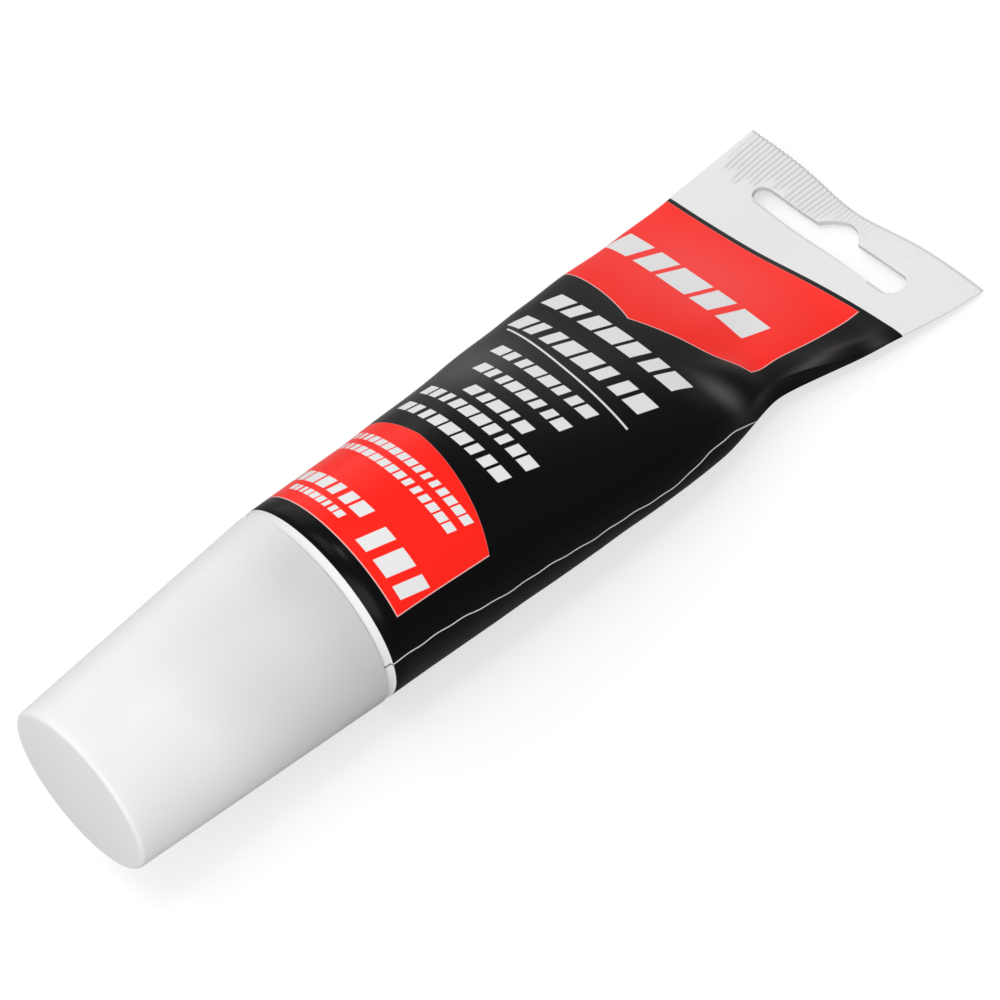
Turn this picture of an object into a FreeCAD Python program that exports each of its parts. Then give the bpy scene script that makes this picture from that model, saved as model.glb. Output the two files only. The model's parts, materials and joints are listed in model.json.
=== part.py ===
import FreeCAD, Part
import math
import os

# Squeeze tube of caulk with a tall tapered overcap, lying on its side. Sizes are in millimetres.
# Every piece is drawn about the tube's own axis: x = 0 at the sleeve's front rim, +x towards the
# sealed tail, z up. The last step tips the tube onto the surface that it lies on.

Vector = FreeCAD.Vector

# Sleeve, a laminate film tube welded flat at the tail
sleeve_diameter = 32.0
sleeve_length = 103.8
seal_length = 15.7
seal_thickness = 0.8
rim_strip_width = 1.2
rim_strip_step = 0.3
belly_power = 2.0
closing_power = 1.25
tail_lift = 2.12
tail_side_shift = 1.6
side_bow = 0.9
side_wave = 1.0

# Soft shape of the film: pinch and dimple beside the seal, and the curled seal
pinch_depth = 5.5
pinch_from_tail = 27.5
pinch_reach = 16.5
dimple_depth = 1.4
dimple_from_tail = 33.0
dimple_side = -9.0
dimple_length = 7.0
dimple_width = 4.5
far_curl = 0.8
near_droop = 0.9
fold_dip = 1.0
fold_place = 0.25
fold_reach = 0.3
curl_start_from_tail = 34.0

# Hang slot in the seal, with a rounded notch in the middle of its tail side
slot_length = 32.0
slot_width = 4.1
slot_from_tail = 7.6
notch_width = 8.5
notch_height = 2.2

# Moulded head: spigot for the overcap, flat shoulder and neck
spigot_height = 7.2
head_wall = 1.2
neck_radius = 6.5
neck_length = 9.0
neck_bore_radius = 4.0
foil_thickness = 0.15
foil_inset = 0.3

# Nozzle that screws on the neck
nozzle_wall = 1.2
nozzle_collar_radius = 8.4
nozzle_tip_radius = 2.4
nozzle_tip_bore_radius = 1.2
nozzle_length = 31.5
grip_rib_count = 12
grip_rib_radius = 0.5
thread_clearance = 0.08

# Overcap
cap_length = 42.0
cap_taper = 2.65
cap_wall = 1.2
cap_end_wall = 1.6
cap_edge_bevel = 0.35
cap_land_wall = 1.2
cap_fit_clearance = 0.08
cap_seat_gap = 0.3

# How the tube lies: its axis runs down towards the tail
rest_tilt_deg = 4.0

sleeve_radius = sleeve_diameter / 2
half_seal = seal_thickness / 2
cap_mouth_radius = sleeve_radius
cap_end_radius = cap_mouth_radius - cap_taper
crimp_x = sleeve_length - seal_length
girth = math.pi * sleeve_diameter
rest_slope = math.tan(math.radians(rest_tilt_deg))
cap_land_radius = cap_mouth_radius - cap_land_wall
spigot_radius = cap_land_radius - cap_fit_clearance
neck_end = -spigot_height - neck_length


def revolved(outline):
    """Turn a closed outline of (x, radius) points about the tube's axis."""
    points = [Vector(x, 0, radius) for x, radius in outline]
    face = Part.Face(Part.makePolygon(points + points[:1]))
    return face.revolve(Vector(0, 0, 0), Vector(1, 0, 0), 360)


def bar(x_from, x_to, radius):
    """Cylinder along the tube's axis."""
    return Part.makeCylinder(radius, x_to - x_from, Vector(x_from, 0, 0), Vector(1, 0, 0))


# Film sections
def floor_height(x):
    """Height of the supporting surface, seen from the tube's axis."""
    return -cap_mouth_radius + (x + cap_seat_gap) * rest_slope


def flatness(x):
    """How far the film has closed: 0 at the rim, 1 from the crimp on."""
    return min(max(x, 0.0) / crimp_x, 1.0)


def half_thickness(x):
    """Half of the tube's thickness."""
    fullness = (1 - flatness(x) ** belly_power) ** closing_power
    return half_seal + (sleeve_radius - half_seal) * fullness


def outline_point(angle, half_width, half_height):
    """Point of a section that is round, or nearly flat with tight sides."""
    side = math.cos(angle)
    spread = side * (1.5 - 0.5 * side * side)
    y = half_height * side + (half_width - half_height) * spread
    return y, half_height * math.sin(angle)


def half_width_for(half_height):
    """Half width at which the section keeps the film's girth."""
    low, high = half_height, girth / 2
    for _ in range(30):
        middle = (low + high) / 2
        ring = [outline_point(2 * math.pi * i / 72, middle, half_height) for i in range(73)]
        length = sum(math.dist(ring[i], ring[i + 1]) for i in range(72))
        if length > girth:
            high = middle
        else:
            low = middle
    return (low + high) / 2


def centre_height(x):
    """Height of the section's middle: the belly lies on the surface, the seal stands clear of it."""
    if x < crimp_x:
        return floor_height(x) + half_thickness(x) + tail_lift * flatness(x) ** 6
    return floor_height(crimp_x) + half_seal + tail_lift


def side_shift(x):
    """How far the section's middle lies to the far side: the filled tube is a little bent."""
    along = flatness(x)
    bent = side_bow * math.sin(math.pi * along) + side_wave * math.sin(2 * math.pi * along)
    return tail_side_shift * along ** 2 - bent


def hill(distance, reach):
    """Smooth bump: 1 in the middle, falling away over its reach."""
    return math.exp(-((distance / reach) ** 2))


def film_point(x, angle, half_width, half_height):
    """Point of the film's outside, with its pinch, dimple and curled seal."""
    y, z = outline_point(angle, half_width, half_height)
    near_side = max(0.0, -math.cos(angle)) ** 2
    pinch_x = sleeve_length - pinch_from_tail
    y += pinch_depth * near_side * hill(x - pinch_x, pinch_reach)
    if z > 0:
        along = hill(x - (sleeve_length - dimple_from_tail), dimple_length)
        z -= dimple_depth * along * hill(y - dimple_side, dimple_width) * math.sin(angle)
    curl_run = (x - (sleeve_length - curl_start_from_tail)) / curl_start_from_tail
    curl = max(0.0, curl_run) ** 2
    across = y / half_width
    z += curl * far_curl * max(0.0, across) ** 2
    z -= curl * near_droop * max(0.0, -across) ** 2
    z -= curl * fold_dip * hill(across - fold_place, fold_reach)
    return Vector(x, y + side_shift(x), z + centre_height(x))


def film_section(x):
    """Closed smooth outline of the film at x."""
    count = 32
    half_height = half_thickness(x)
    half_width = half_width_for(half_height)
    angles = [2 * math.pi * i / count for i in range(count)]
    points = [film_point(x, angle, half_width, half_height) for angle in angles]
    curve = Part.BSplineCurve()
    curve.interpolate(Points=points, PeriodicFlag=True, Parameters=[i / count for i in range(count + 1)])
    return curve


def skinned(stations):
    """Solid whose side passes smoothly through the film's sections, with flat ends."""
    rings = [film_section(x) for x in stations]
    rails = []
    for row in zip(*[ring.getPoles() for ring in rings]):
        rail = Part.BSplineCurve()
        rail.interpolate(Points=list(row), Parameters=stations)
        rails.append(rail)
    poles = [list(row) for row in zip(*[rail.getPoles() for rail in rails])]
    ring, rail = rings[0], rails[0]
    side = Part.BSplineSurface()
    side.buildFromPolesMultsKnots(
        poles, rail.getMultiplicities(), ring.getMultiplicities(), rail.getKnots(), ring.getKnots(),
        False, True, rail.Degree, ring.Degree,
    )
    ends = [Part.Face(Part.Wire(end.toShape())) for end in (rings[0], rings[-1])]
    shell = Part.makeShell([side.toShape()] + ends)
    shell.sewShape()
    return Part.makeSolid(Part.Shell(shell.Faces))


def hang_slot():
    """Tall cutter in the shape of the slot and its notch."""
    slot_x = sleeve_length - slot_from_tail
    end_radius = slot_width / 2
    reach = slot_length / 2 - end_radius
    height = 4 * sleeve_radius
    base = -height / 2
    middle_y = tail_side_shift
    cutter = Part.makeBox(slot_width, 2 * reach, height, Vector(slot_x - end_radius, middle_y - reach, base))
    for side in (-1, 1):
        end = Vector(slot_x, middle_y + side * reach, base)
        cutter = cutter.fuse(Part.makeCylinder(end_radius, height, end))
    # The notch is the cap of a circle that is notch_width wide where it leaves the slot
    notch_radius = (notch_width ** 2 / 4 + notch_height ** 2) / (2 * notch_height)
    notch_x = slot_x + end_radius + notch_height - notch_radius
    notch = Part.makeCylinder(notch_radius, height, Vector(notch_x, middle_y, base))
    notch_space = Part.makeBox(
        notch_height + end_radius, notch_width, height, Vector(slot_x, middle_y - notch_width / 2, base)
    )
    return cutter.fuse(notch.common(notch_space)).removeSplitter()


def make_sleeve():
    """Film and the caulk in it, up to the foil on the neck."""
    body_section_count = 15
    seal_section_count = 4
    body_length = crimp_x - rim_strip_width
    stations = [rim_strip_width + body_length * i / body_section_count for i in range(body_section_count)]
    stations += [crimp_x + seal_length * i / seal_section_count for i in range(seal_section_count + 1)]
    film = skinned(stations)
    strip = bar(0, rim_strip_width, sleeve_radius - rim_strip_step)
    in_head = bar(head_wall - spigot_height, 0, spigot_radius - head_wall)
    in_neck = bar(neck_end, head_wall - spigot_height, neck_bore_radius)
    filled = film.fuse([strip, in_head, in_neck])
    return filled.cut(hang_slot()).removeSplitter()


# Head
def make_head():
    """Moulded shoulder: open skirt, flat top and a bored neck."""
    outline = [
        (0, spigot_radius),
        (-spigot_height, spigot_radius),
        (-spigot_height, neck_radius),
        (neck_end, neck_radius),
        (neck_end, neck_bore_radius),
        (head_wall - spigot_height, neck_bore_radius),
        (head_wall - spigot_height, spigot_radius - head_wall),
        (0, spigot_radius - head_wall),
    ]
    return revolved(outline)


def make_neck_seal():
    """Foil disc over the neck's mouth."""
    return bar(neck_end - foil_thickness, neck_end, neck_radius - foil_inset)


# Nozzle
nozzle_base = -spigot_height - cap_seat_gap
nozzle_tip = nozzle_base - nozzle_length
nozzle_floor = neck_end - foil_thickness - cap_seat_gap
socket_radius = neck_radius + thread_clearance
cone_base_radius = socket_radius + nozzle_wall


def make_nozzle():
    """Collar with grip ribs and a hollow cone with an open tip."""
    outline = [
        (nozzle_base, socket_radius),
        (nozzle_base, nozzle_collar_radius),
        (nozzle_floor, nozzle_collar_radius),
        (nozzle_floor - nozzle_wall, cone_base_radius),
        (nozzle_tip, nozzle_tip_radius),
        (nozzle_tip, nozzle_tip_bore_radius),
        (nozzle_floor - nozzle_wall, cone_base_radius - nozzle_wall * 2),
        (nozzle_floor, cone_base_radius - nozzle_wall * 2),
        (nozzle_floor, socket_radius),
    ]
    nozzle = revolved(outline)
    ribs = []
    for i in range(grip_rib_count):
        turn = 2 * math.pi * i / grip_rib_count
        start = Vector(
            nozzle_floor, nozzle_collar_radius * math.cos(turn), nozzle_collar_radius * math.sin(turn)
        )
        ribs.append(Part.makeCylinder(grip_rib_radius, nozzle_base - nozzle_floor, start, Vector(1, 0, 0)))
    return nozzle.fuse(ribs).removeSplitter()


# Overcap
cap_mouth = -cap_seat_gap
cap_end = cap_mouth - cap_length


def cap_radius(x):
    """Outside radius of the tapered overcap at x."""
    return cap_mouth_radius - (cap_mouth - x) / cap_length * cap_taper


def make_cap():
    """Hollow tapered shell with a straight land in its mouth."""
    inside_end = cap_end + cap_end_wall
    land_end = -spigot_height - cap_seat_gap
    outline = [
        (cap_end, 0),
        (cap_end, cap_end_radius - cap_edge_bevel),
        (cap_end + cap_edge_bevel, cap_radius(cap_end + cap_edge_bevel)),
        (cap_mouth - cap_edge_bevel, cap_radius(cap_mouth - cap_edge_bevel)),
        (cap_mouth, cap_mouth_radius - cap_edge_bevel),
        (cap_mouth, cap_land_radius),
        (land_end, cap_land_radius),
        (land_end, cap_radius(land_end) - cap_wall),
        (inside_end, cap_radius(inside_end) - cap_wall),
        (inside_end, 0),
    ]
    return revolved(outline)


# Assembly: tip the tube to its rest, then put the origin under the middle of its box
def main():
    pieces = {
        "sleeve": make_sleeve(),
        "head": make_head(),
        "neck_seal": make_neck_seal(),
        "nozzle": make_nozzle(),
        "cap": make_cap(),
    }
    tilt = FreeCAD.Rotation(Vector(0, 1, 0), rest_tilt_deg)
    for piece in pieces.values():
        piece.Placement = FreeCAD.Placement(Vector(0, 0, 0), tilt)
    box = Part.makeCompound(list(pieces.values())).optimalBoundingBox()
    shift = Vector(-box.Center.x, -box.Center.y, -box.ZMin)
    os.makedirs("parts", exist_ok=True)
    for name, piece in pieces.items():
        piece.Placement = FreeCAD.Placement(shift, tilt)
        solid = piece.Solids[0]
        solid.exportStep(f"parts/{name}.step")
        print(name, "valid" if solid.isValid() else "BAD", len(piece.Solids), round(solid.Volume, 1))
    print("axis point at the rim", [round(value, 4) for value in shift])
    print("size", round(box.XLength, 2), round(box.YLength, 2), round(box.ZLength, 2))


main()
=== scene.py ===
"""Looks of a squeeze tube of acrylic caulk that lies on its side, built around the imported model.

Sizes are in millimetres in the tube's own axes: x = 0 at the sleeve's front rim, +x towards the
sealed tail, y across to the far side, z up. TubeAxes turns them into metres in the part's frame.
"""

import ast
import json
import logging
import math
from dataclasses import dataclass
from enum import Enum
from typing import Any

import bpy
import numpy as np
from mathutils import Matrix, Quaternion, Vector


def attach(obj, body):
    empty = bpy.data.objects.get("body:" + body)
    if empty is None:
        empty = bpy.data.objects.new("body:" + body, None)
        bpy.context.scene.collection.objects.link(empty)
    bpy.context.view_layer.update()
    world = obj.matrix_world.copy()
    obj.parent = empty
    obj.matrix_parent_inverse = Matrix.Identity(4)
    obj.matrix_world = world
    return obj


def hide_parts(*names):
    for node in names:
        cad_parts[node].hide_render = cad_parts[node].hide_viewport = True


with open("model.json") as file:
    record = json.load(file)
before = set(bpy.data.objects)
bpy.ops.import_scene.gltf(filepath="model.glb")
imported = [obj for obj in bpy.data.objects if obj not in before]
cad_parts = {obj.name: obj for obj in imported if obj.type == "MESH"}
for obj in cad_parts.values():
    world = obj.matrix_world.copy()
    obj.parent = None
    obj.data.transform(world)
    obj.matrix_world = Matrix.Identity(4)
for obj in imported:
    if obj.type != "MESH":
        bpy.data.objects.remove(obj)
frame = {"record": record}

LOG = logging.getLogger("caulk_tube")
MM = 0.001

Colour = tuple[float, float, float, float]
Node = bpy.types.Node
Tree = bpy.types.NodeTree


class Body(Enum):
    """Moving bodies of the part."""

    TUBE = "tube"
    NOZZLE = "nozzle"
    CAP = "cap"


class Slot(Enum):
    """Material slots of the part's record."""

    FILM = "laminate"
    HEAD = "head_plastic"
    FOIL = "foil"
    NOZZLE = "nozzle_plastic"
    CAP = "cap_plastic"


# Colours and nodes
def colour(code: str) -> Colour:
    """Turn an sRGB hex colour into linear light.

    Args:
        code: Six hex digits, with or without a leading #.

    Returns:
        Red, green, blue and an alpha of 1.
    """
    digits = code.lstrip("#")
    parts = [int(digits[i : i + 2], 16) / 255 for i in (0, 2, 4)]
    linear = [part / 12.92 if part <= 0.04045 else ((part + 0.055) / 1.055) ** 2.4 for part in parts]
    return (linear[0], linear[1], linear[2], 1.0)


def add_node(
    tree: Tree, kind: str, settings: dict[str, Any] | None = None, inputs: dict | None = None
) -> Node:
    """Add one node with its settings and links.

    Args:
        tree: Node tree that takes the node.
        kind: Blender's name of the node type.
        settings: Properties of the node by name.
        inputs: A value, or an output to link, by the socket's name or number.

    Returns:
        The new node.
    """
    node = tree.nodes.new(kind)
    for name, value in (settings or {}).items():
        setattr(node, name, value)
    for socket, value in (inputs or {}).items():
        if isinstance(value, bpy.types.NodeSocket):
            tree.links.new(value, node.inputs[socket])
        else:
            node.inputs[socket].default_value = value
    return node


FORMULA_SIGNS = {
    ast.Add: "ADD", ast.Sub: "SUBTRACT", ast.Mult: "MULTIPLY", ast.Div: "DIVIDE", ast.Pow: "POWER",
}
FORMULA_CALLS = {
    "min": "MINIMUM", "max": "MAXIMUM", "abs": "ABSOLUTE", "sin": "SINE", "cos": "COSINE",
    "exp": "EXPONENT", "fold": "PINGPONG", "above": "GREATER_THAN",
}


def formula(tree: Tree, text: str, **terms: Any) -> Any:
    """Turn a written formula into Math nodes.

    Args:
        tree: Node tree that takes the nodes.
        text: Arithmetic on numbers, the terms' names and the calls in FORMULA_CALLS.
        terms: A number or an output for each name in the text.

    Returns:
        The output that holds the result, or a plain number.
    """

    def built(part: ast.expr) -> Any:
        """Output or number for one part of the formula."""
        if isinstance(part, ast.Constant):
            return float(part.value)
        if isinstance(part, ast.Name):
            return terms[part.id]
        if isinstance(part, ast.UnaryOp):
            kind, sides = "MULTIPLY", [ast.Constant(-1), part.operand]
        elif isinstance(part, ast.BinOp):
            kind, sides = FORMULA_SIGNS[type(part.op)], [part.left, part.right]
        else:
            kind, sides = FORMULA_CALLS[part.func.id], part.args
        values = dict(enumerate(built(side) for side in sides))
        return add_node(tree, "ShaderNodeMath", {"operation": kind}, values).outputs[0]

    return built(ast.parse(text).body[0].value)


def new_material(name: str, levels: dict[str, Any]) -> tuple[bpy.types.Material, Tree, Node]:
    """Make a node material.

    Args:
        name: Name of the real material.
        levels: What is the same all over it, by the shader's sockets.

    Returns:
        The material, its tree and its Principled shader.
    """
    material = bpy.data.materials.new(name)
    material.use_nodes = True
    tree = material.node_tree
    tree.nodes.clear()
    shader = add_node(tree, "ShaderNodeBsdfPrincipled", inputs=levels)
    add_node(tree, "ShaderNodeOutputMaterial", inputs={"Surface": shader.outputs[0]})
    return material, tree, shader


def speckle(tree: Tree, grain_mm: float, detail: float = 2.0) -> Any:
    """Even noise on Object coordinates, from 0 to 1.

    Args:
        tree: Material's node tree.
        grain_mm: Size of one grain.
        detail: How much finer grain is laid over it.

    Returns:
        Output with the noise.
    """
    place = add_node(tree, "ShaderNodeTexCoord").outputs["Object"]
    settings = {"Vector": place, "Scale": 1 / (grain_mm * MM), "Detail": detail}
    return add_node(tree, "ShaderNodeTexNoise", inputs=settings).outputs[0]


def laid_over(tree: Tree, base: str, layers: list[tuple[Any, str]]) -> Any:
    """Lay tones over a base.

    Args:
        tree: Material's node tree.
        base: Hex colour of the base.
        layers: How much of each tone is laid on, as an output, and its hex colour.

    Returns:
        Output with the colour that is seen.
    """
    seen: Any = colour(base)
    for cover, code in layers:
        over = {0: cover, 6: seen, 7: colour(code)}
        seen = add_node(tree, "ShaderNodeMix", {"data_type": "RGBA"}, over).outputs[2]
    return seen


def link_shader(
    tree: Tree, shader: Node, links: dict[str, Any], relief: tuple[float, float, Any] | None = None
) -> None:
    """Link what varies over a finish to its shader.

    Args:
        tree: Material's node tree.
        shader: The material's shader.
        links: An output for each socket of the shader that takes one.
        relief: Strength, depth in mm and height output of a fine relief.
    """
    if relief:
        bump = {"Strength": relief[0], "Distance": relief[1] * MM, "Height": relief[2]}
        links = links | {"Normal": add_node(tree, "ShaderNodeBump", inputs=bump).outputs[0]}
    for socket, output in links.items():
        tree.links.new(output, shader.inputs[socket])


def new_group(name: str, sockets: dict[str, str]) -> tuple[Tree, Any]:
    """Make an empty Geometry Nodes group, which takes and gives a mesh.

    Args:
        name: Name of the group.
        sockets: Kind of each further input, such as Float, by its name.

    Returns:
        The group and the outputs of its inputs.
    """
    tree = bpy.data.node_groups.new(name, "GeometryNodeTree")
    tree.interface.new_socket("Mesh", in_out="OUTPUT", socket_type="NodeSocketGeometry")
    for socket, kind in ({"Mesh": "Geometry"} | sockets).items():
        tree.interface.new_socket(socket, in_out="INPUT", socket_type=f"NodeSocket{kind}")
    return tree, add_node(tree, "NodeGroupInput").outputs


def put_on(piece: bpy.types.Object, tree: Tree, wanted: dict[str, Any]) -> None:
    """Put a Geometry Nodes group on a piece as a live modifier.

    Args:
        piece: The piece.
        tree: The group.
        wanted: Values of its inputs, by name.
    """
    modifier = piece.modifiers.new(tree.name, "NODES")
    modifier.node_group = tree
    for item in tree.interface.items_tree:
        if item.in_out == "INPUT" and item.name in wanted:
            modifier[item.identifier] = wanted[item.name]


# Axes of the tube and the camera
@dataclass(frozen=True)
class TubeAxes:
    """The tube's own axes in the part's frame, in metres."""

    rim: Vector
    along: Vector
    across: Vector
    up: Vector

    @classmethod
    def from_record(cls, record: dict[str, Any], cap_reach: float) -> "TubeAxes":
        """Find the axes from the mount on the overcap's flat end.

        Args:
            record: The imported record.
            cap_reach: How far that end stands before the sleeve's rim, in mm.

        Returns:
            The axes, with the rim's centre.
        """
        mount = next(m for m in record["mounts"] if m["name"] == "cap_end")
        outwards = Vector(mount["axis"]).normalized()
        along = -outwards
        across = Vector((0, 1, 0))
        return cls(Vector(mount["pos_m"]) + along * cap_reach * MM, along, across, along.cross(across))

    def placed(self, points: np.ndarray) -> np.ndarray:
        """Turn points in the tube's own axes into the part's frame.

        Args:
            points: One row of x, y and z for each point, in mm.

        Returns:
            The same points in metres.
        """
        turn = np.array([self.along, self.across, self.up])
        return points * MM @ turn + np.array(self.rim)

    def places(self, tree: Tree) -> list[Any]:
        """Outputs with each point's own x and y in mm, worked out from Object coordinates."""
        place = add_node(tree, "ShaderNodeTexCoord").outputs["Object"]
        found = []
        for way in (self.along, self.across):
            dot = add_node(tree, "ShaderNodeVectorMath", {"operation": "DOT_PRODUCT"}, {0: place, 1: way})
            start = way.dot(self.rim)
            found.append(formula(tree, "(d - start) / mm", d=dot.outputs["Value"], start=start, mm=MM))
        return found


@dataclass(frozen=True)
class PhotoCamera:
    """Camera at the photograph's viewing angle, in degrees and mm."""

    azimuth: float = -22.942
    elevation: float = 46.655
    roll: float = -23.658
    distance: float = 1200.0
    lens: float = 313.27
    target: tuple[float, float, float] = (-1.62, -11.06, 18.32)

    def build(self) -> None:
        """Add the camera and make it the scene's own."""
        turn, lift = math.radians(self.azimuth), math.radians(self.elevation)
        back = Vector((math.sin(turn) * math.cos(lift), -math.cos(turn) * math.cos(lift), math.sin(lift)))
        camera = bpy.data.objects.new("photo_camera", bpy.data.cameras.new("photo_camera"))
        bpy.context.scene.collection.objects.link(camera)
        camera.location = Vector(self.target) * MM + back * self.distance * MM
        camera.rotation_mode = "QUATERNION"
        rolled = Quaternion((0, 0, 1), math.radians(self.roll))
        camera.rotation_quaternion = (-back).to_track_quat("-Z", "Y") @ rolled
        camera.data.lens = self.lens
        camera.data.sensor_width = 36.0
        camera.data.clip_start = 0.05
        camera.data.clip_end = 50.0
        bpy.context.scene.camera = camera


# Finishes
@dataclass(frozen=True)
class PrintedLaminate:
    """Printed plastic barrier laminate: black and red ink under a clear film, white where unprinted.

    The clear film is thin and smooth, so black ink stays deep and only glances bright at a grazing
    angle. Places of the print are given on the film laid flat: x along the tube from its rim, g
    round the girth from the top middle to the near side, all in mm.
    """

    black: str = "#030304"
    red: str = "#FF2419"
    white: str = "#E7E7E7"
    pale_line: str = "#F3C2BE"
    strip_tone: str = "#F0F0F0"
    gap_tone: str = "#77787A"
    ink_edge: float = 0.09
    girth: float = math.pi * 32.0
    map_span: float = 120.0
    map_name: str = "FilmPlace"
    groove_name: str = "crimp_groove"
    groove_tone: str = "#8F8F90"
    groove_shade: float = 0.34
    painted_sheen_tone: str = "#FFFFFF"
    rim_strip: float = 1.25
    line_width: float = 0.14
    lower_start: float = 4.4
    lower_near: float = 19.85
    lower_far: float = -23.45
    lower_apex: tuple[float, float] = (24.4, -1.9)
    lower_curve: tuple[float, float] = (0.077, 0.0061)
    upper_apex: tuple[float, float] = (63.3, -3.9)
    upper_near_curve: tuple[float, float] = (0.37, -0.0036)
    upper_far_curve: tuple[float, float] = (0.3, -0.0112)
    upper_near: float = 16.6
    upper_near_lean: float = 0.07
    upper_near_from: float = 69.5
    upper_far: float = -26.6
    tail_start: float = 88.9
    tail_skew: float = 1.5
    tail_border: float = 0.7
    block_lean: float = 0.2
    block_gap: float = 0.15
    seam_place: float = 26.2
    seam_width: float = 0.22
    # Painted sheen and highlights on the film. Of each spot: its x and g, its reaches along both, its lean
    # and how much white is laid on
    painted_sheen_spots: tuple[tuple[float, ...], ...] = (
        (63.2, 17.0, 1.5, 5.0, 0.12, 0.065),
        (77.6, 20.3, 4.2, 0.9, 0.0, 0.05),
        (87.0, 22.8, 1.6, 2.6, 0.0, 0.03),
        (40.0, -10.5, 7.5, 6.0, 0.0, 0.07),
        (46.0, -1.0, 13.0, 9.0, 0.0, 0.018),
        (79.0, -8.0, 11.0, 20.0, 0.0, 0.055),
    )

    def lines(self) -> list[tuple[float, float, float, float, int]]:
        """Plain white blocks in the places of the print's lines.

        Returns:
            For each line: middle x, height, first g, last g and how many blocks are in it.
        """
        return [
            (76.0, 4.5, -25.5, 9.5, 5),
            (59.0, 3.4, -17.0, 14.0, 7),
            (52.1, 3.4, -16.0, 14.6, 8),
            (44.9, 2.1, -11.0, 11.0, 8),
            (40.4, 2.1, -9.3, 10.6, 8),
            (35.9, 2.1, -5.6, 8.0, 5),
            (32.3, 2.1, -12.0, 13.0, 10),
            (28.0, 2.1, -11.5, 12.2, 9),
            (19.9, 1.4, -19.0, 14.6, 20),
            (17.3, 1.4, -19.0, 14.2, 19),
            (9.8, 2.2, -19.0, 5.6, 9),
            (7.1, 1.2, -9.0, 3.6, 9),
            (8.2, 4.4, 7.4, 19.0, 3),
            (11.7, 0.6, 37.4, 39.6, 3),
        ]

    def zones(self, tree: Tree, x: Any, g: Any) -> list[tuple[Any, str]]:
        """Work out the fields of ink.

        Args:
            tree: Material's node tree.
            x: Output with the place along the tube.
            g: Output with the place round the girth.

        Returns:
            In the order of printing: how far inside the field a point lies, in mm, and its colour.
        """

        def cut(text: str, **terms: Any) -> Any:
            """Formula on the place on the film."""
            return formula(tree, text, x=x, g=g, **terms)

        sides = cut("min(x - start, min(near - g, g - far))", start=self.lower_start, near=self.lower_near,
                    far=self.lower_far)
        away = cut("abs(g - mid)", mid=self.lower_apex[1])
        top = cut("apex - a * away - b * away * away - x", away=away, apex=self.lower_apex[0],
                  a=self.lower_curve[0], b=self.lower_curve[1])
        tail = cut("x - (start + skew * sin(g * turn))", start=self.tail_start, skew=self.tail_skew,
                   turn=2 * math.pi / self.girth)
        rise: Any = 0.0
        for sign, curve in ((1, self.upper_near_curve), (-1, self.upper_far_curve)):
            away = cut("max((g - mid) * sign, 0)", mid=self.upper_apex[1], sign=sign)
            rise = cut("rise + away * (a + b * away)", rise=rise, away=away, a=curve[0], b=curve[1])
        front = cut("min(x - apex - rise, near - lean * (x - since) - g)", rise=rise, apex=self.upper_apex[0],
                    near=self.upper_near, lean=self.upper_near_lean, since=self.upper_near_from)
        back = cut("min(g - far, -tail - border)", tail=tail, far=self.upper_far, border=self.tail_border)
        found = []
        for outlined, plain in ((sides, top), (front, back)):
            for line, code in ((0.0, self.pale_line), (self.line_width, self.red)):
                found.append((cut("min(a - line, b)", a=outlined, b=plain, line=line), code))
        for middle, height, first, last, count in self.lines():
            along = cut("g - lean * (x - m) - a", lean=self.block_lean, m=middle, a=first)
            run = last - first
            # The wave makes the blocks unequally long, and is at rest at both ends
            inside = cut(
                "min(min(h / 2 - abs(x - m), min(s, run - s)),"
                " fold(s + b * sin(s * turn) / 10, b / 2) - gap * h)",
                h=height, m=middle, s=along, run=run, b=run / count, gap=self.block_gap,
                turn=2 * math.pi * (count - 2) / run,
            )
            found.append((inside, self.white))
        found.append((cut("min(0.17 - abs(x - 48.5 + 0.068 * g), 14.8 - abs(g - 0.3))"), self.white))
        found.append((tail, self.white))
        found.append((cut("w - x", w=self.rim_strip), self.strip_tone))
        # The welded seam: a pale line that goes under the near side's edge, and a gap in the rim's strip
        line = cut(
            "abs(g - place - 1.2 * min(max((x - 5) / 17, 0), 1) + 3 * exp(-((x - 61) / 9) ** 2)"
            " - 5 / (1 + exp(67.5 - x)) - 0.2 * sin(x * 0.42) - 0.1 * sin(x * 1.3))",
            place=self.seam_place,
        )
        found.append((cut("w / 2 - line", w=self.seam_width, line=line), self.white))
        found.append((cut("min(0.17 - line, w - x)", w=self.rim_strip, line=line), self.gap_tone))
        return found

    def haze(self, tree: Tree, x: Any, g: Any) -> Any:
        """Painted sheen: how much white is laid over the print where highlights fall, from 0 to 1; it also
        makes the film rougher.
        """
        haze: Any = 0.0
        for at_x, at_g, reach_x, reach_g, lean, most in self.painted_sheen_spots:
            haze = formula(
                tree, "haze + most * exp(-(((x - a - lean * (g - b)) / p) ** 2) - ((g - b) / q) ** 2)",
                haze=haze, most=most, x=x, g=g, a=at_x, b=at_g, p=reach_x, q=reach_g, lean=lean,
            )
        return haze

    def build(self) -> bpy.types.Material:
        """Make the material of the film's outside."""
        levels = {"IOR": 1.5, "Specular IOR Level": 0.1}
        material, tree, shader = new_material("printed_barrier_laminate", levels)
        place = add_node(tree, "ShaderNodeUVMap", {"uv_map": self.map_name}).outputs[0]
        parts = add_node(tree, "ShaderNodeSeparateXYZ", inputs={0: place})
        x = formula(tree, "u * span", u=parts.outputs[0], span=self.map_span)
        g = formula(tree, "(v - 0.5) * span", v=parts.outputs[1], span=self.map_span)
        edge = {"operation": "MULTIPLY_ADD", "use_clamp": True}
        layers = []
        for inside, code in self.zones(tree, x, g):
            cover = add_node(tree, "ShaderNodeMath", edge, {0: inside, 1: 1 / self.ink_edge, 2: 0.5})
            layers.append((cover.outputs[0], code))
        # Painted sheen and highlights: white laid over the print in soft spots, which also make the film
        # rougher
        haze = self.haze(tree, x, g)
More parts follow.
